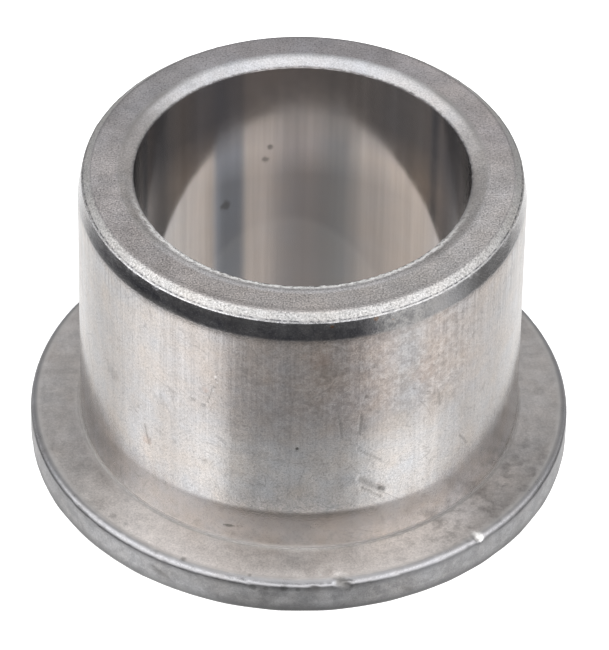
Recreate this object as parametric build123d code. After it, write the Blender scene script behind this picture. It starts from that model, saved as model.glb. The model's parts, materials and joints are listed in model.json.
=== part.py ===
"""Flanged sleeve bushing: a plain bearing pressed and sintered in one piece.

The bushing stands on its flange. The origin is on the bore's axis at the flange's outer face, and
+Z runs along the bore towards the free end of the barrel, the end that enters the housing first.
Every size is in millimetres.
"""

import os

from build123d import *

# Main sizes
bore_diameter = 19.1
barrel_diameter = 25.4
flange_diameter = 31.2
overall_length = 19.5
flange_thickness = 2.25

# Free end of the barrel: a short bevel, then a slow taper that leads it into the housing
bevel_width = 0.5
bevel_height = 0.45
taper_width = 0.2
taper_height = 1.15

# Mouth of the bore: a shallow lead-in that rolls over from the end face
mouth_width = 0.75
mouth_height = 0.3
mouth_blend = 1.0

# Flange
rim_rounding = 0.45
face_edge_rounding = 0.12
flange_root_fillet = 0.15
flange_bore_chamfer = 0.4

bore_radius = bore_diameter / 2
barrel_radius = barrel_diameter / 2
flange_radius = flange_diameter / 2
taper_radius = barrel_radius - taper_width
end_face_radius = taper_radius - bevel_width
bevel_start = overall_length - bevel_height
taper_start = bevel_start - taper_height


def wall_section():
    """Section of the wall on one side of the axis: each corner's radius, height and rounding."""
    sharp = 0
    corners = [
        (bore_radius + flange_bore_chamfer, 0, sharp),
        (flange_radius, 0, face_edge_rounding),
        (flange_radius, flange_thickness, rim_rounding),
        (barrel_radius, flange_thickness, flange_root_fillet),
        (barrel_radius, taper_start, sharp),
        (taper_radius, bevel_start, sharp),
        (end_face_radius, overall_length, sharp),
        (bore_radius + mouth_width, overall_length, mouth_blend),
        (bore_radius, overall_length - mouth_height, sharp),
        (bore_radius, flange_bore_chamfer, sharp),
    ]
    with BuildSketch(Plane.XZ) as section:
        with BuildLine():
            FilletPolyline(
                [(radius, height) for radius, height, _ in corners],
                radius=[rounding for _, _, rounding in corners],
                close=True,
            )
        make_face()
    return section.sketch


def flanged_sleeve():
    """The bearing itself: the wall section swept once round the bore's axis."""
    return revolve(wall_section(), axis=Axis.Z)


def main():
    os.makedirs("parts", exist_ok=True)
    export_step(flanged_sleeve(), "parts/flanged_sleeve.step")


main()
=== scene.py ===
"""Looks of the flanged sleeve bushing: one turned and burnished piece of sintered metal on a pale floor."""

import json
from math import atan, cos, degrees, hypot, pi, radians, sin, tan, tau

import bpy
from mathutils import Matrix, Vector, noise


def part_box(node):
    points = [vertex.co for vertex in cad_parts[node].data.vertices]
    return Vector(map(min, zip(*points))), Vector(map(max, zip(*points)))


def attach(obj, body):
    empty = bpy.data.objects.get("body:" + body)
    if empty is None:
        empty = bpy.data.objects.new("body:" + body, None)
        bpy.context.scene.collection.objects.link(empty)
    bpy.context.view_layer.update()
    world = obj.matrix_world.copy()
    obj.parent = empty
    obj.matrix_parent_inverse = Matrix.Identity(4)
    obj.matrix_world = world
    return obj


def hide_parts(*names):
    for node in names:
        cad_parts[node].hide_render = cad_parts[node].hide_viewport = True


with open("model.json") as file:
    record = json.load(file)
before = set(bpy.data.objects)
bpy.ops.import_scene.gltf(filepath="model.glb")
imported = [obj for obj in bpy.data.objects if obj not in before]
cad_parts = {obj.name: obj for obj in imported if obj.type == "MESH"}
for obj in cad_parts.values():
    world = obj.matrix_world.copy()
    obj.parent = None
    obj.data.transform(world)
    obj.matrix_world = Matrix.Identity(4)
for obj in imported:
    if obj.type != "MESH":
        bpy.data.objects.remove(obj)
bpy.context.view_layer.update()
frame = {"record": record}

MM = 0.001

# Sizes in millimetres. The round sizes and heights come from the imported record.
mounts = {mount["name"]: mount for mount in frame["record"]["mounts"]}
low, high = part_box("flanged_sleeve")
BORE_R = mounts["bore"]["dims"]["r_mm"]
BARREL_R = mounts["barrel"]["dims"]["r_mm"]
SEAT_Z = mounts["flange_seat"]["pos_m"][2] / MM
TOP_Z = mounts["end_face"]["pos_m"][2] / MM
FLANGE_R = round((high.x - low.x) / 2 / MM, 1)

TAPER_R = BARREL_R - 0.2
BEVEL_R = TAPER_R - 0.5
BEVEL_Z = TOP_Z - 0.45
TAPER_Z = BEVEL_Z - 1.15
MOUTH_WIDTH = 0.75
MOUTH_HEIGHT = 0.3
MOUTH_BLEND = 1.0
LIP_CORNER = 0.04
RIM_ROUND = 0.45
FOOT_ROUND = 0.12
ROOT_FILLET = 0.15
CHAMFER = 0.4

# The barrel's knocks and scratches lie between these heights, where the mesh has more rows.
MARKS_TOP = 13.8
MARKS_FOOT = 3.0

# How far the crumbs of a corner and the waves of the flange's lower edge reach along the wall
CRUMB_REACH = 0.22
WAVE_REACH = 0.3

# Columns of the mesh over the marked part of the wall, and over the rest
FINE_TURN = 56
FINE_COLUMNS = 330
PLAIN_COLUMNS = 230

VIEW_ELEVATION = radians(41.62)


# ---------------------------------------------------------------- camera

def add_camera():
    """A long lens that looks down at the bushing from the front."""
    aim, distance, roll = Vector((0.25, 0, 7.87)), 354.2, radians(1.02)
    back = Vector((0, -cos(VIEW_ELEVATION), sin(VIEW_ELEVATION)))
    data = bpy.data.cameras.new("camera")
    data.lens, data.sensor_width = 340.6, 36
    data.clip_start, data.clip_end = 0.01, 20
    camera = bpy.data.objects.new("camera", data)
    turn = back.to_track_quat("Z", "Y").to_matrix() @ Matrix.Rotation(roll, 3, "Z")
    camera.matrix_world = Matrix.Translation((aim + back * distance) * MM) @ turn.to_4x4()
    bpy.context.scene.collection.objects.link(camera)
    bpy.context.scene.camera = camera


add_camera()


# ---------------------------------------------------------------- node helpers

class Nodes:
    """Short names for making and joining the nodes of one tree."""

    def __init__(self, tree):
        self.tree = tree
        self.tree.nodes.clear()

    def add(self, kind, **settings):
        node = self.tree.nodes.new("ShaderNode" + kind)
        for name, value in settings.items():
            setattr(node, name, value)
        return node

    def put(self, socket, value):
        if isinstance(value, bpy.types.NodeSocket):
            self.tree.links.new(value, socket)
        elif value is not None:
            socket.default_value = value

    def math(self, operation, a, b=None, c=None, clamp=False):
        node = self.add("Math", operation=operation, use_clamp=clamp)
        for socket, value in zip(node.inputs, (a, b, c)):
            self.put(socket, value)
        return node.outputs[0]

    def times(self, a, b, clamp=False):
        return self.math("MULTIPLY", a, b, clamp=clamp)

    def times_plus(self, a, b, c, clamp=False):
        return self.math("MULTIPLY_ADD", a, b, c, clamp=clamp)

    def centred(self, value, amount):
        """A value from 0 to 1 made to swing about 0 by half an amount."""
        return self.times_plus(value, amount, -amount / 2)

    def vector(self, operation, a, b):
        node = self.add("VectorMath", operation=operation)
        self.put(node.inputs[0], a)
        self.put(node.inputs[1], b)
        return node.outputs[0]

    def ramp(self, position, *stops, blend="LINEAR"):
        """Stops are (position, value) or (position, (r, g, b)) pairs. Shares come out as plain numbers."""
        node = self.add("ValToRGB")
        node.color_ramp.interpolation = blend
        elements = node.color_ramp.elements
        while len(elements) < len(stops):
            elements.new(1)
        share = all(not isinstance(value, tuple) and value <= 1 for _, value in stops)
        for element, (place, value) in zip(elements, sorted(stops, key=lambda stop: stop[0])):
            element.position = place
            shade = value if isinstance(value, tuple) else (value, value, value)
            element.color = (*shade, value if share else 1)
        self.put(node.inputs["Fac"], position)
        return node.outputs["Alpha" if share else "Color"]

    def mix(self, factor, a, b, blend="MIX"):
        node = self.add("Mix", data_type="RGBA", blend_type=blend)
        for socket, value in zip((node.inputs[0], node.inputs[6], node.inputs[7]), (factor, a, b)):
            self.put(socket, value)
        return node.outputs[2]

    def noise(self, where, scale, detail=2.0, roughness=0.5):
        node = self.add("TexNoise")
        self.put(node.inputs["Vector"], where)
        node.inputs["Scale"].default_value = scale
        node.inputs["Detail"].default_value = detail
        node.inputs["Roughness"].default_value = roughness
        return node.outputs["Fac"]


# ---------------------------------------------------------------- studio

def add_world():
    """Soft light from all round, with the darker room low in front and the photographer above."""
    world = bpy.data.worlds.new("studio")
    world.use_nodes = True
    bpy.context.scene.world = world
    nodes = Nodes(world.node_tree)
    direction = nodes.add("TexCoord").outputs["Generated"]
    split = nodes.add("SeparateXYZ")
    nodes.put(split.inputs[0], direction)
    x, y, z = split.outputs
    azimuth = nodes.times_plus(nodes.math("ARCTAN2", x, nodes.times(y, -1.0)), 1 / tau, 0.5)
    height = nodes.times_plus(z, 0.5, 0.5)

    def sector(*stops):
        """Brightness by elevation, in degrees."""
        places = [(sin(radians(angle)) / 2 + 0.5, value) for angle, value in stops]
        return nodes.ramp(height, *places, blend="EASE")

    def window(*stops, blend="EASE"):
        """A share by azimuth, in degrees."""
        return nodes.ramp(azimuth, *[(angle / 360 + 0.5, value) for angle, value in stops], blend=blend)

    low_front = sector((-90, 0.44), (-37, 0.44), (-30, 0.14), (-17, 0.14), (-5, 1.0))
    low_left = sector((-90, 1.45), (-38, 1.45), (-32, 0.14), (-21, 0.14), (-5, 1.0))
    low_right = sector((-90, 1.1), (-37, 1.1), (-31, 0.7), (-20, 0.7), (-5, 1.0))
    low_flank = sector((-90, 0.98), (-37, 0.98), (-31, 0.2), (-20, 0.2), (-5, 0.6))
    low_back = sector((-90, 1.1), (-37, 1.1), (-30, 0.6), (-5, 0.55))
    low = nodes.mix(window((-5, 0.0), (5, 1.0), blend="LINEAR"), low_left, low_right)
    low = nodes.mix(window((-112, 1.0), (-88, 0.0), (70, 0.0), (95, 1.0)), low, low_flank)
    low = nodes.mix(window((-146, 1.0), (-122, 0.0), (122, 0.0), (146, 1.0)), low, low_back)
    low = nodes.mix(window((-45, 0.0), (-34, 0.85), (-18, 1.0), (24, 1.0), (48, 0.0)), low, low_front)

    top_front = sector((-5, 1.0), (14, 2.2), (44, 2.5), (62, 1.4), (90, 1.3))
    top_back = sector((-5, 0.6), (10, 0.55), (42, 0.5), (60, 0.7), (90, 1.3))
    top = nodes.mix(window((-114, 0.0), (-90, 1.0), (62, 1.0), (130, 0.0)), top_back, top_front)
    above = sector((-4, 0.0), (4, 1.0))
    colour = nodes.mix(above, low, top)

    person = nodes.add("VectorMath", operation="DOT_PRODUCT")
    nodes.put(person.inputs[0], direction)
    person.inputs[1].default_value = (0, -cos(VIEW_ELEVATION), sin(VIEW_ELEVATION))
    faint, full = cos(radians(22)), cos(radians(13))
    shade = nodes.ramp(person.outputs["Value"], (faint, 0.0), (full, 1.0), blend="EASE")
    colour = nodes.mix(shade, colour, (0.5, 0.5, 0.5, 1))

    background = nodes.add("Background")
    nodes.put(background.inputs["Color"], colour)
    nodes.put(nodes.add("OutputWorld").inputs["Surface"], background.outputs[0])


def add_floor():
    """A plain pale floor, lit evenly enough that only a soft contact shadow shows.

    Of the two parts, the metal mirrors only the disc, which lies under it and shows in its bore. The disc
    glows brighter than the rest: painted light that stands in for the lit floor seen in the bore.
    """
    inner, outer, sides = 14.5 * MM, 3.0, 96

    def part(name, rings, glow):
        mesh = bpy.data.meshes.new(name)
        turns = [tau * i / sides for i in range(sides)]
        points = [(r * cos(a), r * sin(a), 0) for r in rings for a in turns]
        if len(rings) == 1:
            faces = [tuple(range(sides))]
        else:
            faces = [
                (i, sides + i, sides + (i + 1) % sides, (i + 1) % sides) for i in range(sides)
            ]
        mesh.from_pydata(points, [], faces)
        material = bpy.data.materials.new(name)
        material.use_nodes = True
        shader = material.node_tree.nodes["Principled BSDF"]
        shader.inputs["Base Color"].default_value = (0.8, 0.8, 0.8, 1)
        shader.inputs["Roughness"].default_value = 0.9
        shader.inputs["Specular IOR Level"].default_value = 0
        shader.inputs["Emission Color"].default_value = (1, 1, 1, 1)
        shader.inputs["Emission Strength"].default_value = glow
        mesh.materials.append(material)
        piece = bpy.data.objects.new(name, mesh)
        bpy.context.scene.collection.objects.link(piece)
        return piece

    part("floor", (inner, outer), 0.6).visible_glossy = False
    # The disc in the bore glows brighter than the floor round it: painted light for the lit floor that the
    # bore mirrors.
    part("floor_in_bore", (inner,), 1.6)


def add_light(name, kind, place, aim, energy, **settings):
    """A lamp that the metal doesn't mirror: what shows in the metal is the world."""
    data = bpy.data.lights.new(name, kind)
    data.energy = energy
    for setting, value in settings.items():
        setattr(data, setting, value)
    light = bpy.data.objects.new(name, data)
    light.location = place
    light.rotation_euler = (Vector(aim) - light.location).to_track_quat("-Z", "Y").to_euler()
    bpy.context.scene.collection.objects.link(light)
    light.visible_glossy = False


add_world()
add_floor()
add_light("softbox", "AREA", (0.1, -0.15, 0.7), (0, 0, 0), 1.2, shape="DISK", size=0.5)
bpy.context.scene.view_settings.view_transform = "Standard"


# ---------------------------------------------------------------- the wall's profile

def line(start, end, rows):
    """Points from start towards end, without the end."""
    return [
        (start[0] + (end[0] - start[0]) * i / rows, start[1] + (end[1] - start[1]) * i / rows)
        for i in range(rows)
    ]


def arc(centre, radius, first, last, rows):
    """Points round a corner, without the last: 0 degrees points outwards and 90 up."""
    turns = [radians(first + (last - first) * i / rows) for i in range(rows)]
    return [(centre[0] + radius * cos(a), centre[1] + radius * sin(a)) for a in turns]


def wall_profile():
    """The wall's closed outline, up the bore and down the outside, as (stretch name, points) pairs."""
    root = ROOT_FILLET
    slope = atan(MOUTH_HEIGHT / MOUTH_WIDTH)
    mouth_end = BORE_R + MOUTH_WIDTH + MOUTH_BLEND * tan(slope / 2)
    blend = arc((mouth_end, TOP_Z - MOUTH_BLEND), MOUTH_BLEND, 90 + degrees(slope), 90, 4)
    lip = (BORE_R, TOP_Z - MOUTH_HEIGHT)
    below_lip = (BORE_R, lip[1] - LIP_CORNER)
    past_lip = (BORE_R + LIP_CORNER * cos(slope), lip[1] + LIP_CORNER * sin(slope))
    return [
        ("chamfer", line((BORE_R + CHAMFER, 0), (BORE_R, CHAMFER), 3)),
        ("bore", line((BORE_R, CHAMFER), below_lip, 25) + [below_lip]),
        ("mouth", [lip] + line(past_lip, blend[0], 4) + blend),
        ("end_face", line((mouth_end, TOP_Z), (BEVEL_R, TOP_Z), 7)),
        ("bevel", line((BEVEL_R, TOP_Z), (TAPER_R, BEVEL_Z), 5)),
        ("taper", line((TAPER_R, BEVEL_Z), (BARREL_R, TAPER_Z), 7)),
        ("barrel", line((BARREL_R, TAPER_Z), (BARREL_R, MARKS_TOP), 8)
            + line((BARREL_R, MARKS_TOP), (BARREL_R, MARKS_FOOT), 68)
            + line((BARREL_R, MARKS_FOOT), (BARREL_R, SEAT_Z + root), 3)),
        ("root", arc((BARREL_R + root, SEAT_Z + root), root, 180, 270, 4)),
        ("seat", line((BARREL_R + root, SEAT_Z), (FLANGE_R - RIM_ROUND, SEAT_Z), 8)),
        ("rim_round", arc((FLANGE_R - RIM_ROUND, SEAT_Z - RIM_ROUND), RIM_ROUND, 90, 0, 7)),
        ("rim", line((FLANGE_R, SEAT_Z - RIM_ROUND), (FLANGE_R, FOOT_ROUND), 9)),
        ("foot_round", arc((FLANGE_R - FOOT_ROUND, FOOT_ROUND), FOOT_ROUND, 0, -90, 4)),
        ("face", line((FLANGE_R - FOOT_ROUND, 0), (BORE_R + CHAMFER, 0), 5)),
    ]


# ---------------------------------------------------------------- marks of use

# Knocks and scratches: azimuth from the front in degrees and height in mm, at both ends, then half
# width and depth in mm.
BARREL_MARKS = [
    ((-0.3, 9.95), (-0.2, 9.85), 0.1, 0.03),
    ((15.3, 9.5), (21.8, 8.3), 0.06, 0.02),
    ((16.0, 7.2), (21.6, 6.15), 0.2, 0.03),
    ((16.1, 6.6), (21.6, 5.55), 0.07, 0.03),
    ((20.6, 6.45), (22.2, 6.1), 0.14, 0.06),
    ((19.0, 4.9), (21.0, 4.5), 0.06, 0.015),
    ((9.9, 12.5), (11.1, 10.6), 0.06, 0.012),
    ((15.9, 12.1), (15.5, 10.8), 0.06, 0.015),
    ((-28.0, 12.2), (-24.2, 12.05), 0.07, 0.018),
    ((-23.6, 12.3), (-22.4, 13.3), 0.05, 0.008),
    ((-43.0, 8.4), (-41.7, 7.2), 0.08, 0.014),
    ((-41.4, 7.1), (-40.9, 7.7), 0.06, 0.01),
    ((38.0, 12.0), (38.6, 10.9), 0.1, 0.012),
    ((46.0, 7.6), (49.0, 6.6), 0.08, 0.01),
    ((-18.6, 3.32), (-16.4, 3.4), 0.09, 0.02),
]
RIM_MARKS = [
    ((9.2, 2.1), (10.5, 1.92), 0.3, 0.12),
    ((3.6, 1.9), (4.6, 1.8), 0.16, 0.04),
    ((41.9, 2.16), (42.3, 2.08), 0.2, 0.15),
    ((-31.0, 1.2), (-28.0, 0.9), 0.2, 0.02),
    ((23.0, 0.9), (24.6, 0.6), 0.18, 0.03),
]

# Colours of the small stains, and of the painted highlight and shade on the flange's nick and dent
DARK = (0.06, 0.057, 0.05)
RUST = (0.42, 0.22, 0.12)
LIGHT = (0.9, 0.89, 0.88)
PIT = (0.015, 0.014, 0.012)

# Small stains: azimuth in degrees, radius and height in mm, size in mm, strength and colour
SPOTS = [
    (-168.3, BORE_R, 13.4, 0.24, 0.55, PIT),
    (-166.6, BORE_R, 12.4, 0.28, 0.5, PIT),
    (-151.8, BORE_R, 9.7, 0.38, 0.6, PIT),
    (-0.25, BARREL_R, 9.9, 0.13, 0.85, DARK),
    (-18.9, BARREL_R, 3.32, 0.08, 0.6, DARK),
    (-18.3, BARREL_R, 3.34, 0.11, 0.75, DARK),
    (-17.6, BARREL_R, 3.36, 0.13, 0.75, DARK),
    (-16.9, BARREL_R, 3.38, 0.1, 0.7, DARK),
    (-16.2, BARREL_R, 3.4, 0.07, 0.55, DARK),
    (-15.2, BARREL_R, 3.46, 0.06, 0.4, DARK),
    (-14.1, BARREL_R, 3.5, 0.06, 0.3, DARK),
    (21.6, BARREL_R, 6.2, 0.2, 0.6, DARK),
    (19.2, BARREL_R, 15.6, 0.22, 0.35, DARK),
    (17.3, BARREL_R, 13.4, 0.2, 0.4, DARK),
    (-33.4, BARREL_R, 8.4, 0.2, 0.15, DARK),
    (-25.0, BARREL_R, 8.6, 0.16, 0.12, DARK),
    (-42.0, BARREL_R, 7.4, 0.4, 0.2, RUST),
    (-56.2, BARREL_R, 10.4, 0.7, 0.2, DARK),
    (-21.4, BARREL_R, 14.4, 0.1, 0.4, LIGHT),
    (-21.0, BARREL_R, 14.0, 0.07, 0.35, LIGHT),
    (-22.0, BARREL_R, 13.3, 0.07, 0.35, LIGHT),
    (-21.9, BARREL_R, 13.6, 0.14, 0.35, DARK),
    (8.0, BARREL_R, 15.5, 0.7, 0.16, DARK),
    (-9.8, 15.19, SEAT_Z, 0.16, 0.4, DARK),
    (-45.2, 14.72, SEAT_Z, 0.3, 0.3, DARK),
    (-41.6, 14.67, SEAT_Z, 0.2, 0.25, DARK),
    (-33.4, 15.55, SEAT_Z, 0.18, 0.4, DARK),
    (-32.2, 15.57, SEAT_Z, 0.16, 0.45, DARK),
    (-30.8, 15.5, SEAT_Z, 0.16, 0.4, DARK),
    (-24.8, 15.16, SEAT_Z, 0.2, 0.45, DARK),
    # Painted highlight on the bright facet of the nick in the flange's edge
    (42.1, 15.4, 2.14, 0.35, 0.95, LIGHT),
    # Painted shade in the dent in the flange's edge
    (9.8, 15.45, 2.05, 0.45, 0.6, DARK),
    (-9.0, FLANGE_R, 1.76, 0.22, 0.45, DARK),
    (-6.2, FLANGE_R, 1.7, 0.18, 0.35, DARK),
    (-2.4, FLANGE_R, 1.78, 0.24, 0.45, DARK),
    (0.6, FLANGE_R, 1.74, 0.16, 0.35, DARK),
    (8.2, TAPER_R, 18.8, 0.12, 0.8, RUST),
    (19.5, TAPER_R, 18.9, 0.14, 0.55, RUST),
    (24.0, TAPER_R, 18.6, 0.1, 0.5, RUST),
    (-24.0, BARREL_R, 13.2, 0.3, 0.2, RUST),
    (5.0, BARREL_R, 16.6, 0.8, 0.14, RUST),
    (33.0, BARREL_R, 14.0, 0.9, 0.12, RUST),
]

# Crumbly corners: stretch that starts there, size of the lumps in mm, seed and lumps per mm
EDGE_CRUMBS = [("mouth", 0.07, 1.0, 4.6), ("taper", 0.045, 2.0, 3.1), ("rim_round", 0.02, 4.0, 3.1)]


def mark_depth(marks, radius, turn, height):
    """How deep the marks are at a point on a wall of that radius, and how marked it is, from 0 to 1."""
    depth, share = 0.0, 0.0
    for (turn_a, height_a), (turn_b, height_b), half_width, mark in marks:
        start = Vector((radians(turn_a) * radius, height_a))
        run = Vector((radians(turn_b) * radius, height_b)) - start
        here = Vector((turn * radius, height)) - start
        if here.length > run.length + 2 * half_width:
            continue
        along_run = min(max(here.dot(run) / run.length_squared, 0), 1)
        near = 1 - (here - run * along_run).length / (1.5 * half_width)
        if near > 0:
            near = near * near * (3 - 2 * near)
            depth = max(depth, mark * near)
            share = max(share, near)
    return depth, share


def crumbs(point, seed, pitch=3.1):
    """Small lumps that leave most of an edge alone, from 0 to about 1."""
    fine = noise.noise(point * pitch + Vector((seed, 0, 0)))
    coarse = noise.noise(point * 0.9 + Vector((0, seed, 0)))
    return max(0.0, fine + 0.6 * coarse - 0.12)


def relief(point, turn, reach, starts):
    """How far a point stands out from the plain shape in mm, and how marked it is."""
    out = 0.004 * noise.noise(point * 0.45) + 0.002 * noise.noise(point * 1.3)
    share = 0.0
    if starts["barrel"] < reach < starts["root"]:
        depth, share = mark_depth(BARREL_MARKS, BARREL_R, turn, point.z)
        out -= depth
    elif starts["rim_round"] <= reach < starts["foot_round"]:
        depth, share = mark_depth(RIM_MARKS, FLANGE_R, turn, point.z)
        out -= depth + 0.03 * crumbs(point, 3.0)
    for edge, size, seed, pitch in EDGE_CRUMBS:
        near = 1 - abs(reach - starts[edge]) / CRUMB_REACH
        below_lip = edge == "mouth" and reach <= starts[edge] - 0.01
        if near > 0 and not below_lip:
            out += size * near * crumbs(point, seed, pitch)
    near = 1 - abs(reach - starts["foot_round"]) / WAVE_REACH
    if near > 0:
        out -= 0.035 * near * (1 + 1.4 * noise.noise(point * 0.6))
    return out, share


def column_turns():
    """The columns' azimuths: close together where the wall is marked, wider elsewhere."""
    fine = radians(FINE_TURN)
    marked = [-fine + 2 * fine * i / FINE_COLUMNS for i in range(FINE_COLUMNS)]
    plain = [fine + (tau - 2 * fine) * i / PLAIN_COLUMNS for i in range(PLAIN_COLUMNS)]
    return marked + [turn - tau if turn > pi else turn for turn in plain]


def outline_places(profile):
    """The outline's points, the length along it to each, and each stretch's start in mm and as a row."""
    points = [point for _, stretch in profile for point in stretch]
    reach = [0.0]
    for (r0, z0), (r1, z1) in zip(points, points[1:] + points[:1]):
        reach.append(reach[-1] + hypot(r1 - r0, z1 - z0))
    starts, first_rows, row = {}, {}, 0
    for name, stretch in profile:
        starts[name] = reach[row]
        first_rows[name] = row
        row += len(stretch)
    starts["end"] = reach[-1]
    return points, reach, starts, first_rows


def wall_vertices(points, reach, starts, turns):
    """The outline's points turned about the axis, with their relief, and how marked each of them is."""
    vertices, marked = [], []
    for row, (radius, z) in enumerate(points):
        before, after = points[row - 1], points[(row + 1) % len(points)]
        outward = Vector((before[1] - after[1], after[0] - before[0])).normalized()
        for turn in turns:
            point = Vector((radius * sin(turn), -radius * cos(turn), z))
            out, share = relief(point, turn, reach[row], starts)
            place_r = min(radius + outward.x * out, FLANGE_R)
            place_z = min(max(z + outward.y * out, 0), TOP_Z)
            vertices.append((place_r * sin(turn) * MM, -place_r * cos(turn) * MM, place_z * MM))
            marked.append(share)
    return vertices, marked


def wall_faces(reach, columns):
    """Faces between the rows and columns, and the length along the outline at each of their corners."""
    rows = len(reach) - 1
    faces, along = [], []
    for row in range(rows):
        next_row = (row + 1) % rows
        for column in range(columns):
            next_column = (column + 1) % columns
            faces.append((
                row * columns + column,
                next_row * columns + column,
                next_row * columns + next_column,
                row * columns + next_column,
            ))
            along += [reach[row], reach[row + 1], reach[row + 1], reach[row]]
    return faces, along


def sleeve_mesh():
    """The whole wall as one closed mesh with crisp corners, and where each stretch of it starts."""
    points, reach, starts, first_rows = outline_places(wall_profile())
    turns = column_turns()
    columns = len(turns)
    vertices, marked = wall_vertices(points, reach, starts, turns)
    faces, along = wall_faces(reach, columns)
    mesh = bpy.data.meshes.new("bushing")
    mesh.from_pydata(vertices, [], faces)
    mesh.attributes.new("along", "FLOAT", "CORNER").data.foreach_set("value", along)
    mesh.attributes.new("marked", "FLOAT", "POINT").data.foreach_set("value", marked)
    mesh.shade_smooth()
    corners = {first_rows[name] for name in ("chamfer", "bore", "mouth", "taper")}
    corners.add(first_rows["mouth"] - 1)
    crisp = mesh.attributes.new("sharp_edge", "BOOLEAN", "EDGE")
    rows_of_ends = [(a // columns, b // columns) for a, b in mesh.edge_keys]
    crisp.data.foreach_set("value", [a == b and a in corners for a, b in rows_of_ends])
    return mesh, starts


# ---------------------------------------------------------------- material

class Metal(Nodes):
    """The tree of the sintered metal, with the places on the part that its looks depend on.

    base is the colour so far. The functions after this class add to it, one after the other.
    """

    def __init__(self, tree, starts):
        super().__init__(tree)
        self.starts = starts
        in_mm = self.add("VectorMath", operation="SCALE")
        self.put(in_mm.inputs[0], self.add("TexCoord").outputs["Object"])
        in_mm.inputs["Scale"].default_value = 1 / MM
        self.place = in_mm.outputs[0]
        split = self.add("SeparateXYZ")
        self.put(split.inputs[0], self.place)
        x, y, self.z = split.outputs
        self.stretched = self.vector("MULTIPLY", self.place, (1, 1, 0.02))
        self.turn = self.times_plus(self.math("ARCTAN2", x, self.times(y, -1.0)), 1 / tau, 0.5)
        self.back_turn = self.times_plus(self.math("ARCTAN2", x, y), 1 / tau, 0.5)
        self.along = self.add("Attribute", attribute_name="along").outputs["Fac"]
        self.marked = self.add("Attribute", attribute_name="marked").outputs["Fac"]
        self.grain = self.noise(self.place, 10.0, 2.0, 0.7)
        jitter = self.times_plus(self.noise(self.place, 3.0, 3.0), 0.12, -0.06)
        self.share = self.times(self.math("ADD", self.along, jitter), 1 / starts["end"])

    def zones(self, **values):
        """A value or colour that changes from stretch to stretch of the profile."""
        soft, total = 0.05, self.starts["end"]
        names = list(self.starts)
        stops = []
        for name, following in zip(names, names[1:]):
            stops.append(((self.starts[name] + soft) / total, values[name]))
            stops.append(((self.starts[following] - soft) / total, values[name]))
        return self.ramp(self.share, *stops)

    def only(self, stretch):
        """1 on one stretch of the profile and 0 elsewhere."""
        return self.zones(**{name: float(name == stretch) for name in self.starts if name != "end"})

    def around(self, *stops, turn=None):
        """A value or colour by azimuth in degrees, from the front or by the turn that is given."""
        turn = self.turn if turn is None else turn
        return self.ramp(turn, *[(angle / 360 + 0.5, value) for angle, value in stops])

    def edge(self, name, offset, reach):
        """1 along one corner of the profile, moved by an offset and fading over a reach, in mm."""
        distance = self.math("ABSOLUTE", self.math("SUBTRACT", self.along, self.starts[name] + offset))
        return self.math("SUBTRACT", 1.0, self.times(distance, 1 / reach), clamp=True)

    def hairlines(self, lean):
        """Thin scratches that lean from upright by an angle in degrees, from 0 to 1."""
        elsewhere = self.vector("ADD", self.place, (lean, 0, 0))
        sparse = self.ramp(self.noise(elsewhere, 0.6, 3.0, 0.6), (0.54, 0.0), (0.64, 1.0))
        angle = radians(lean)
        round_mm = self.times(self.turn, tau * BARREL_R)
        across = self.times_plus(round_mm, cos(angle), self.times(self.z, sin(angle)))
        down = self.times_plus(round_mm, -sin(angle), self.times(self.z, cos(angle)))
        spread = self.add("CombineXYZ")
        self.put(spread.inputs[0], self.times(across, 1.3))
        self.put(spread.inputs[1], self.times(down, 0.3))
        off = self.math("ABSOLUTE", self.centred(self.noise(spread.outputs[0], 1.0, 1.0), 40.0))
        return self.times(self.math("SUBTRACT", 1.0, off, clamp=True), sparse)

    def paint(self, where, share, shade):
        """Mixes a share of a shade into the colour so far."""
        self.base = self.mix(self.times(where, share, clamp=True), self.base, (*shade, 1))


def stretch_values(metal):
    """What each stretch of the wall is like: how rough, grainy, streaked and mottled, and its colour."""
    metal.roughness = metal.zones(
        chamfer=0.4, bore=0.10, mouth=0.32, end_face=0.45, bevel=0.40, taper=0.13, barrel=0.21,
        root=0.8, seat=0.45, rim_round=0.31, rim=0.42, foot_round=0.45, face=0.42,
    )
    metal.grain_share = metal.zones(
        chamfer=0.8, bore=0.02, mouth=0.95, end_face=1.2, bevel=0.9, taper=0.35, barrel=0.42,
        root=0.1, seat=0.38, rim_round=0.15, rim=0.4, foot_round=0.4, face=0.8,
    )
    metal.streak_share = metal.zones(
        chamfer=0.2, bore=1.25, mouth=0.2, end_face=0.0, bevel=0.0, taper=0.3, barrel=0.8,
        root=0.2, seat=0.0, rim_round=0.0, rim=0.2, foot_round=0.0, face=0.0,
    )
    metal.mottle_share = metal.zones(
        chamfer=0.6, bore=0.3, mouth=0.9, end_face=1.3, bevel=0.8, taper=1.0, barrel=1.1,
        root=0.9, seat=1.4, rim_round=1.0, rim=1.4, foot_round=1.0, face=1.0,
    )
    # The mouth's paler colour is painted light on the bright ring round the bore, and the root's darker one
    # painted shade in the crease at the barrel's foot.
    metal.base = metal.zones(
        chamfer=(0.45, 0.45, 0.46), bore=(0.245, 0.222, 0.206), mouth=(0.69, 0.69, 0.713),
        end_face=(0.52, 0.494, 0.487), bevel=(0.485, 0.475, 0.468), taper=(0.50, 0.49, 0.49),
        barrel=(0.52, 0.495, 0.48), root=(0.31, 0.295, 0.285), seat=(0.51, 0.487, 0.478),
        rim_round=(0.31, 0.307, 0.317), rim=(0.45, 0.445, 0.45), foot_round=(0.36, 0.355, 0.36),
        face=(0.46, 0.45, 0.44),
    )


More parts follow.
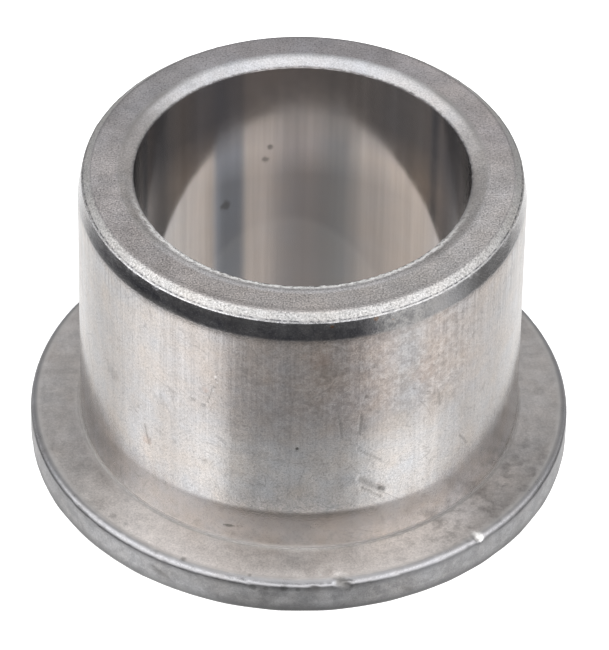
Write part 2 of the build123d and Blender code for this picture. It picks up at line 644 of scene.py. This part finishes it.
def fine_pattern(metal):
    """Grain, streaks and mottle as one tone about 1, put on the colour. The back is quieter."""
    streaks = metal.noise(metal.stretched, 2.2, 6.0, 0.62)
    metal.fine_streaks = metal.noise(metal.stretched, 8.0, 1.0, 0.6)
    metal.mottle = metal.noise(metal.place, 0.9, 5.0, 0.62)
    blotch = metal.noise(metal.place, 0.24, 3.0, 0.5)

    metal.in_bore = metal.only("bore")
    metal.in_taper = metal.only("taper")
    metal.in_barrel = metal.only("barrel")
    metal.height_share = metal.times(metal.z, 1 / TOP_Z)
    upper = metal.times(metal.ramp(metal.height_share, (0.4, 0.1), (0.8, 1.0)), metal.in_barrel)
    upper = metal.times(upper, metal.ramp(metal.noise(metal.place, 0.5, 3.0), (0.38, 0.4), (0.6, 1.0)))
    broad = metal.centred(streaks, 0.45)
    fine = metal.times(metal.centred(metal.fine_streaks, 0.8), upper)
    tone = metal.times(metal.math("ADD", broad, fine), metal.streak_share)
    front = metal.around((-120, 0.5), (-70, 1.0), (70, 1.0), (120, 0.5))
    metal.grain_share = metal.times(metal.grain_share, front)
    tone = metal.times_plus(metal.centred(metal.grain, 2.1), metal.grain_share, tone)
    tone = metal.times_plus(metal.centred(metal.mottle, 0.4), metal.mottle_share, tone)
    tone = metal.times_plus(metal.centred(blotch, 0.25), metal.mottle_share, tone)
    metal.tone = metal.math("ADD", tone, 1.0)
    metal.base = metal.mix(1.0, metal.base, metal.tone, "MULTIPLY")


def bore_stripe_and_shade(metal):
    """A dark bluish stripe in the bore, and painted shade in the middle of its back and low down, where the
    bore mirrors shadowed floor, by azimuth from the back.
    """
    # Darkening by azimuth: the bluish stripe, and painted shade in the middle of the back wall.
    stripes = metal.around(
        (-62, 0.0), (-50, 0.0), (-34, 0.05), (-31, 0.75), (-23, 0.8), (-20, 0.2), (-11, 0.25),
        (-7, 0.6), (-2, 0.8), (2, 0.65), (8, 0.9), (14, 1.0), (18, 0.6), (22, 0.2), (36, 0.0),
        (60, 0.0), turn=metal.back_turn,
    )
    stained = metal.times(stripes, metal.in_bore)
    metal.stained = metal.times(stained, metal.ramp(metal.height_share, (0.7, 1.0), (0.8, 0.5)))
    metal.base = metal.mix(metal.times(metal.stained, 0.66), metal.base, (0.07, 0.076, 0.09, 1))
    # Painted shade low in the bore, strongest in the middle of the back and along the stripe.
    painted_low_shade = metal.ramp(
        metal.height_share, (0.2, 0.9), (0.26, 0.94), (0.4, 0.94), (0.57, 0.84), (0.70, 0.0),
    )
    painted_low_shade = metal.times(painted_low_shade, metal.around(
        (-60, 0.1), (-40, 0.1), (-32, 0.45), (-29, 0.9), (-23, 0.9), (-19, 0.3), (-14, 0.35),
        (-8, 0.64), (0, 0.84), (8, 0.86), (14, 0.68), (22, 0.5), (32, 0.4), (42, 0.26), (52, 0.3),
        (66, 0.0), turn=metal.back_turn,
    ))
    metal.base = metal.mix(metal.times(painted_low_shade, metal.in_bore), metal.base, (0.052, 0.05, 0.05, 1))


def bore_painted_reflections(metal):
    """Painted reflections in the bore, by azimuth from the back: hues of the floor it mirrors low down, and
    painted shade above, darker and bluer, where it mirrors the foot of the front wall.
    """
    # Painted reflection: hues of the mirrored floor, low in the bore.
    painted_low_hue = metal.around(
        (-70, (0.82, 0.86, 0.92)), (-50, (0.92, 0.93, 0.94)), (-34, (1.05, 1.0, 0.96)),
        (-31, (0.89, 0.96, 1.06)), (-23, (0.9, 0.96, 1.05)), (-20, (1.05, 1.0, 0.96)),
        (-8, (1.04, 0.99, 0.97)), (2, (1.06, 0.985, 0.95)), (12, (1.0, 1.0, 0.97)),
        (24, (1.03, 0.99, 0.96)), (46, (1.06, 0.99, 0.92)), (66, (0.88, 0.92, 1.0)),
        turn=metal.back_turn,
    )
    lower_bore = metal.times(metal.ramp(metal.height_share, (0.68, 1.0), (0.82, 0.2)), metal.in_bore)
    metal.base = metal.mix(lower_bore, metal.base, painted_low_hue, "MULTIPLY")
    # Painted shade above: the upper bore made darker and bluer where it mirrors the dark foot of the front
    # wall.
    cool = metal.around(
        (-60, (0.38, 0.42, 0.5)), (-30, (0.42, 0.45, 0.51)), (-18, (0.75, 0.73, 0.72)),
        (18, (0.73, 0.72, 0.72)), (34, (0.57, 0.62, 0.69)), (60, (0.54, 0.59, 0.68)),
        turn=metal.back_turn,
    )
    above = metal.math("SUBTRACT", metal.in_bore, lower_bore, clamp=True)
    metal.base = metal.mix(above, metal.base, cool, "MULTIPLY")


def pale_arch(metal):
    """A faint paler arch low at the back of the bore: highest at one azimuth, and falling off both ways."""
    arch_top, arch_turn, fall = 8.2, 174.0, 0.0031
    from_middle = metal.times_plus(metal.back_turn, 360.0, -arch_turn)
    arch = metal.times_plus(metal.times(from_middle, from_middle), -fall, arch_top)
    arch = metal.times(metal.math("SUBTRACT", arch, metal.z), 1.6, clamp=True)
    arch = metal.times(arch, metal.in_bore)
    metal.base = metal.mix(metal.times(arch, 0.03), metal.base, (0.5, 0.49, 0.47, 1))


def taper_painted_dark_band(metal):
    """Painted reflection: a dark band on the front of the taper, where it mirrors the dark low room, with
    ragged ends and lighter patches.
    """
    ragged = metal.math("ADD", metal.turn, metal.centred(metal.noise(metal.place, 1.3, 4.0, 0.7), 0.03))
    front = metal.around((-74, 0.0), (-60, 1.0), (18, 1.0), (21, 0.0), turn=ragged)
    # Painted reflection of the dark low room on the taper's front.
    dark_band = metal.times(front, metal.in_taper)
    rise = metal.around((-70, 0.016), (-48, 0.019), (-34, 0.017), (-24, 0.0))
    from_lower_end = metal.math("SUBTRACT", metal.height_share, rise)
    dark_band = metal.times(dark_band, metal.ramp(from_lower_end, (0.907, 0.1), (0.921, 1.0)))
    dark_band = metal.times(dark_band, metal.ramp(metal.height_share, (0.948, 1.0), (0.964, 0.7)))
    patchy = metal.ramp(metal.noise(metal.place, 1.6, 5.0, 0.7), (0.35, 1.0), (0.62, 0.5))
    metal.base = metal.mix(metal.times(dark_band, patchy), metal.base, (0.17, 0.17, 0.195, 1))


def barrel_foot(metal):
    """The rubbed lower part of the barrel's front, and a band of painted shade under it, where the barrel
    mirrors the flange's ledge.
    """
    front = metal.around((-34, 0.0), (-14, 0.8), (20, 1.0), (32, 1.0), (46, 0.0))
    rubbed = metal.times(front, metal.in_barrel)
    rubbed = metal.times(rubbed, metal.ramp(
        metal.height_share, (0.20, 0.0), (0.27, 1.0), (0.42, 1.0), (0.62, 0.0), blend="EASE",
    ))
    worn_bright = metal.mix(1.0, (0.92, 0.90, 0.885, 1), metal.tone, "MULTIPLY")
    metal.base = metal.mix(metal.times(rubbed, 0.5), metal.base, worn_bright)
    # Painted shade low on the barrel, where it mirrors the flange's ledge.
    painted_foot_shade = metal.ramp(
        metal.height_share, (0.17, 0.9), (0.20, 1.0), (0.245, 1.0), (0.265, 0.0), blend="EASE",
    )
    painted_foot_shade = metal.times(painted_foot_shade, metal.around(
        (-74, 0.0), (-56, 0.3), (-34, 0.6), (-12, 1.0), (14, 1.0), (30, 0.6), (50, 0.0),
    ))
    metal.base = metal.mix(metal.times(painted_foot_shade, metal.in_barrel), metal.base, (0.25, 0.232, 0.22, 1))


def barrel_hues(metal):
    """Uneven warm and cool metal, strongest on the barrel, with stripes of both on its upper front."""
    warm, cool = (1.045, 1.0, 0.955), (0.965, 1.0, 1.045)
    hue = metal.ramp(metal.noise(metal.place, 0.5, 4.0, 0.6), (0.3, warm), (0.7, cool))
    metal.base = metal.mix(metal.times_plus(metal.in_barrel, 0.6, 0.4), metal.base, hue, "MULTIPLY")
    metal.high = metal.times(metal.ramp(metal.height_share, (0.5, 0.0), (0.66, 1.0)), metal.in_barrel)
    stripes = metal.around(
        (-40, (1.0, 1.0, 1.0)), (-10, (1.02, 0.99, 0.98)), (4, (1.03, 0.99, 0.97)),
        (14, (1.03, 0.985, 0.975)), (22, (1.05, 0.985, 0.95)), (27, (0.97, 1.0, 1.04)),
        (31, (0.98, 1.0, 1.03)), (36, (1.05, 0.99, 0.95)), (50, (1.03, 1.0, 0.98)),
        (70, (1.0, 1.0, 1.0)),
    )
    metal.base = metal.mix(metal.high, metal.base, stripes, "MULTIPLY")


def flat_painted_light(metal):
    """Painted light and shade by azimuth on the end face and the bore's mouth, and painted light on the
    front of the seat, where the barrel mirrors light down onto it.
    """
    # Painted light and shade on the end face: lighter at the front, darker at the back.
    painted_face_light = metal.around(
        (-180, (0.89, 0.9, 0.95)), (-156, (0.96, 0.97, 1.02)), (-140, (0.81, 0.82, 0.85)),
        (-108, (0.8, 0.81, 0.84)), (-92, (0.98, 0.98, 1.0)), (-60, (0.9, 0.89, 0.9)),
        (0, (1.1, 1.08, 1.06)), (30, (1.1, 1.11, 1.11)), (92, (1.03, 1.03, 1.04)),
        (108, (0.98, 0.97, 1.0)), (124, (1.08, 1.06, 1.07)), (156, (0.88, 0.88, 0.92)),
        (180, (0.89, 0.9, 0.95)),
    )
    metal.base = metal.mix(metal.only("end_face"), metal.base, painted_face_light, "MULTIPLY")
    # Painted light and shade round the bore's mouth, with its bright stretches at the front and back.
    painted_mouth_light = metal.around(
        (-180, (0.98, 0.98, 0.98)), (-136, (1.06, 1.05, 1.04)), (-112, (0.78, 0.74, 0.71)),
        (-66, (0.68, 0.645, 0.61)), (-36, (1.1, 1.07, 1.04)), (24, (1.15, 1.12, 1.1)),
        (48, (0.66, 0.63, 0.6)), (86, (0.68, 0.645, 0.61)), (104, (0.92, 0.88, 0.84)),
        (122, (1.24, 1.2, 1.16)), (142, (1.18, 1.16, 1.13)), (160, (0.95, 0.95, 0.95)),
    )
    metal.base = metal.mix(metal.only("mouth"), metal.base, painted_mouth_light, "MULTIPLY")
    # Painted light on the seat's front, where the barrel mirrors light down onto it.
    painted_seat_light = metal.times(metal.around((-72, 0.0), (-44, 0.9), (26, 1.0), (52, 0.0)), metal.only("seat"))
    lit_seat = metal.mix(1.0, (0.88, 0.85, 0.832, 1), metal.tone, "MULTIPLY")
    metal.base = metal.mix(metal.times(painted_seat_light, 0.95), metal.base, lit_seat)


def lip_highlight_and_shade(metal):
    """The bright crumbly lip at the front of the bore, painted as a highlight where its crumbs catch the
    light from above, and bands of painted shade on the mouth's sides that narrow its highlight.
    """
    metal.lip_crumbs = metal.ramp(metal.noise(metal.place, 4.0, 3.0, 0.7), (0.40, 0.1), (0.52, 1.0))
    lip = metal.times(metal.edge("mouth", 0.2, 0.34), metal.lip_crumbs)
    metal.lip = metal.times(lip, metal.around(
        (-84, 0.0), (-52, 0.7), (-30, 1.0), (28, 1.0), (46, 0.7), (80, 0.0),
    ))
    # Painted highlight: the crumbly lip made near white, where its crumbs catch the light from above.
    metal.paint(metal.lip, 2.4, (1.0, 0.99, 0.98))
    # Painted shade in bands beside the bore and the end face, narrowing the mouth's highlight.
    painted_shade_by_bore = metal.times(metal.edge("mouth", 0.15, 0.4), metal.around(
        (-134, 0.0), (-104, 0.25), (-76, 0.15), (-56, 0.0), (48, 0.0), (70, 0.5), (86, 0.4), (104, 0.0),
    ))
    metal.paint(painted_shade_by_bore, 0.8, (0.27, 0.255, 0.245))
    painted_shade_by_face = metal.times(metal.edge("end_face", -0.1, 0.3), metal.around(
        (-152, 0.0), (-128, 1.0), (-106, 0.8), (-92, 0.0), (96, 0.0), (110, 0.8), (130, 1.0), (152, 0.0),
    ))
    metal.paint(painted_shade_by_face, 0.85, (0.35, 0.335, 0.33))


def outer_corner_wear_and_glint(metal):
    """Dark lines and dashes of wear at the corners of the bevel and the taper, a darker front of the bevel,
    a painted highlight along the taper's top corner, and light specks and dark patches where the taper's
    dark band ends.
    """
    metal.broken = metal.ramp(metal.noise(metal.place, 5.0, 3.0, 0.7), (0.42, 0.0), (0.56, 1.0))
    metal.patches = metal.noise(metal.place, 1.5, 4.0, 0.65)
    metal.paint(metal.edge("bevel", -0.03, 0.07), 0.4, (0.2, 0.2, 0.21))
    by_bevel = metal.times(metal.edge("bevel", -0.18, 0.3), metal.around(
        (-60, 0.0), (-28, 1.0), (30, 1.0), (60, 0.0),
    ))
    metal.paint(by_bevel, 0.34, (0.2, 0.19, 0.19))
    metal.paint(metal.times(metal.edge("taper", -0.13, 0.07), metal.broken), 1.2, (0.10, 0.10, 0.11))
    # Painted highlight: a broken bright line along the corner between the bevel and the taper.
    metal.paint(metal.times(metal.edge("taper", -0.01, 0.06), metal.broken), 0.5, (0.92, 0.92, 0.94))
    band_tail = metal.times(metal.around((17, 0.0), (21, 1.0), (31, 1.0), (38, 0.0)), metal.in_taper)
    metal.paint(metal.times(band_tail, metal.broken), 0.3, (0.88, 0.86, 0.82))
    tail_patches = metal.ramp(metal.patches, (0.5, 0.0), (0.6, 1.0))
    metal.paint(metal.times(band_tail, tail_patches), 0.45, (0.14, 0.14, 0.15))


def corner_shadows(metal):
    """Dark notches along the bore's edge away from the front, and a dull corner right of the taper's dark
    band, both painted shade.
    """
    notches = metal.times(metal.edge("mouth", 0.03, 0.14), metal.around(
        (-180, 1.0), (-76, 1.0), (-56, 0.0), (62, 0.0), (84, 1.0), (180, 1.0),
    ))
    metal.paint(metal.times(notches, metal.lip_crumbs), 0.9, (0.2, 0.19, 0.19))
    quiet = metal.times(metal.edge("taper", -0.01, 0.06), metal.around(
        (14, 0.0), (24, 1.0), (60, 1.0), (72, 0.0),
    ))
    metal.paint(quiet, 0.7, (0.16, 0.16, 0.165))


def flange_edge_light_and_shade(metal):
    """Painted light and shade along the flange's two rounded edges: the upper one paler at its top and
    foot, with a broken painted highlight along it and a painted dark reflection of the low room just under
    it, and painted shade at the flange's foot.
    """
    metal.paint(metal.edge("rim_round", 0.02, 0.22), 0.8, (0.6, 0.58, 0.57))
    # Painted highlight: a broken bright line along the upper rounded edge.
    metal.paint(metal.times(metal.edge("rim_round", 0.39, 0.09), metal.broken), 0.2, (0.8, 0.81, 0.85))
    metal.paint(metal.edge("rim_round", 0.53, 0.13), 0.22, (0.6, 0.6, 0.62))
    # Painted dark reflection of the low room, just under the upper edge.
    painted_dark_reflection = metal.times(metal.edge("rim", 0.06, 0.3), metal.times_plus(metal.broken, 0.5, 0.5))
    painted_dark_reflection = metal.times(painted_dark_reflection, metal.around((-60, 0.0), (-40, 1.0), (24, 1.0), (60, 0.2)))
    metal.paint(painted_dark_reflection, 0.28, (0.13, 0.13, 0.14))
    # Painted shade at the foot, next to the floor.
    metal.paint(metal.edge("foot_round", -0.1, 0.5), 0.9, (0.2, 0.2, 0.2))


def flange_dirt(metal):
    """Dirt on the rim, smears on the seat, and the seat's darker outer part on the right."""
    dirt = metal.times(metal.ramp(metal.patches, (0.45, 0.0), (0.6, 1.0)), metal.only("rim"))
    metal.paint(dirt, 0.3, (0.17, 0.17, 0.18))
    smears = metal.times(metal.ramp(metal.patches, (0.46, 0.0), (0.68, 1.0)), metal.only("seat"))
    smears = metal.times(smears, metal.around(
        (-70, 0.3), (-50, 0.15), (14, 0.1), (40, 1.0), (64, 1.0), (84, 0.3),
    ))
    metal.paint(smears, 0.6, (0.2, 0.19, 0.185))
    outer_seat = metal.times(metal.edge("rim_round", -0.4, 1.0), metal.around(
        (6, 0.0), (22, 0.7), (60, 1.0), (90, 0.2),
    ))
    metal.paint(outer_seat, 0.3, (0.2, 0.19, 0.185))


def scratches_and_pores(metal):
    """Fine scratches on the barrel, and the open pores of the pressed metal."""
    for lean in (62.0, 18.0, -34.0):
        metal.paint(metal.times(metal.hairlines(lean), metal.in_barrel), 0.3, (0.16, 0.15, 0.145))
    pores = metal.ramp(metal.noise(metal.place, 8.0, 1.0), (0.58, 0.0), (0.68, 1.0))
    pressed = metal.math("ADD", metal.only("end_face"), metal.only("bevel"))
    porous = metal.times_plus(metal.in_barrel, 0.45, pressed)
    metal.paint(metal.times(pores, porous), 0.42, (0.1, 0.095, 0.09))


def leathery_patches(metal):
    """Dark and pale patches of wear high on the barrel's front."""
    leathery = metal.noise(metal.place, 2.6, 5.0, 0.7)
    worn_top = metal.times(metal.high, metal.around((-26, 0.0), (-8, 0.7), (8, 1.0), (42, 1.0), (58, 0.0)))
    dark = metal.ramp(leathery, (0.46, 0.0), (0.62, 1.0))
    metal.paint(metal.times(worn_top, dark), 0.32, (0.2, 0.17, 0.16))
    pale = metal.ramp(leathery, (0.36, 1.0), (0.48, 0.0))
    metal.paint(metal.times(worn_top, pale), 0.22, (0.85, 0.83, 0.82))


def root_light_and_shade(metal):
    """Painted light in a paler band on the seat beside the barrel's foot on the left, and painted shade on
    the root fillet.
    """
    painted_root_light = metal.times(metal.edge("root", 0.2, 0.45), metal.around(
        (-100, 0.3), (-60, 1.0), (-8, 0.6), (14, 0.0),
    ))
    metal.paint(painted_root_light, 0.35, (0.66, 0.64, 0.63))
    painted_root_shade = metal.times(metal.only("root"), metal.around(
        (-120, 0.3), (-50, 0.16), (0, 0.1), (50, 0.3), (170, 0.2),
    ))
    metal.paint(painted_root_shade, 0.8, (0.16, 0.155, 0.15))


def small_stains_and_painted_light(metal):
    """The spots with uneven outlines, among them a painted highlight on the nick and painted shade in the
    dent on the flange's edge, and the knocks and scratches darkened, partly as darker metal and partly as
    painted shade in their hollows.
    """
    shape = metal.centred(metal.patches, 2.4)
    for azimuth, radius, level, size, strength, shade in SPOTS:
        centre = (radius * sin(radians(azimuth)), -radius * cos(radians(azimuth)), level)
        distance = metal.add("VectorMath", operation="DISTANCE")
        metal.put(distance.inputs[0], metal.place)
        distance.inputs[1].default_value = centre
        wobbly = metal.times_plus(shape, size, distance.outputs["Value"])
        near = metal.ramp(metal.times(wobbly, 0.5 / size), (0.2, strength), (0.6, 0.0), blend="EASE")
        metal.base = metal.mix(near, metal.base, (*shade, 1))
    # The knocks and scratches darkened: partly darker metal, partly painted shade in their hollows.
    metal.base = metal.mix(metal.times(metal.marked, 0.45), metal.base, (0.22, 0.21, 0.20, 1))


def fine_relief(metal):
    """The normal of a surface with grain, streaks and mottle in it, and a smooth bore."""
    grain_height = metal.times(metal.grain_share, metal.times_plus(metal.in_barrel, -0.016, 0.03))
    height = metal.times(metal.grain, grain_height)
    height = metal.times_plus(metal.fine_streaks, metal.times(metal.in_barrel, 0.001), height)
    height = metal.times_plus(metal.mottle, metal.times(metal.mottle_share, 0.0025), height)
    height = metal.times(height, metal.math("SUBTRACT", 1.0, metal.in_bore))
    bump = metal.add("Bump")
    bump.inputs["Strength"].default_value = 1.0
    bump.inputs["Distance"].default_value = MM
    metal.put(bump.inputs["Height"], height)
    return bump.outputs[0]


def full_roughness(metal):
    """Each stretch's roughness, more in the mottle, the bore's stripe and painted shade, the lip and the
    marks.
    """
    mottled = metal.times(metal.centred(metal.mottle, 0.3), metal.mottle_share)
    rough = metal.math("ADD", metal.roughness, mottled)
    rough = metal.times_plus(metal.stained, 0.15, rough)
    rough = metal.times_plus(metal.lip, 0.15, rough)
    return metal.math("ADD", rough, metal.times(metal.marked, 0.1), clamp=True)


# Each of these paints over the ones before it, so their order matters.
LOOKS = [
    stretch_values, fine_pattern, bore_stripe_and_shade, bore_painted_reflections, pale_arch, taper_painted_dark_band, barrel_foot, barrel_hues,
    flat_painted_light, lip_highlight_and_shade, outer_corner_wear_and_glint, corner_shadows, flange_edge_light_and_shade, flange_dirt,
    scratches_and_pores, leathery_patches, root_light_and_shade, small_stains_and_painted_light,
]


def sintered_metal(starts):
    """Sintered metal: grainy where it was only pressed, streaked and with stains where it was sized, and
    painted light and shade in many places.
    """
    material = bpy.data.materials.new("sintered_metal")
    material.use_nodes = True
    metal = Metal(material.node_tree, starts)
    for look in LOOKS:
        look(metal)
    normal = fine_relief(metal)
    rough = full_roughness(metal)
    shader = metal.add("BsdfPrincipled")
    metal.put(shader.inputs["Base Color"], metal.base)
    metal.put(shader.inputs["Roughness"], rough)
    metal.put(shader.inputs["Normal"], normal)
    burnished = metal.times_plus(metal.in_bore, -0.16, 1.0)
    metal.put(shader.inputs["Metallic"], metal.times_plus(metal.lip, -0.5, burnished, clamp=True))
    shader.inputs["Anisotropic"].default_value = 0.4
    metal.put(shader.inputs["Tangent"], metal.add("Tangent", direction_type="RADIAL", axis="Z").outputs[0])
    metal.put(metal.add("OutputMaterial").inputs["Surface"], shader.outputs[0])
    return material


def add_bushing():
    mesh, starts = sleeve_mesh()
    bushing = bpy.data.objects.new("bushing", mesh)
    bpy.context.scene.collection.objects.link(bushing)
    mesh.materials.append(sintered_metal(starts))
    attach(bushing, "root")
    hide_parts("flanged_sleeve")


add_bushing()
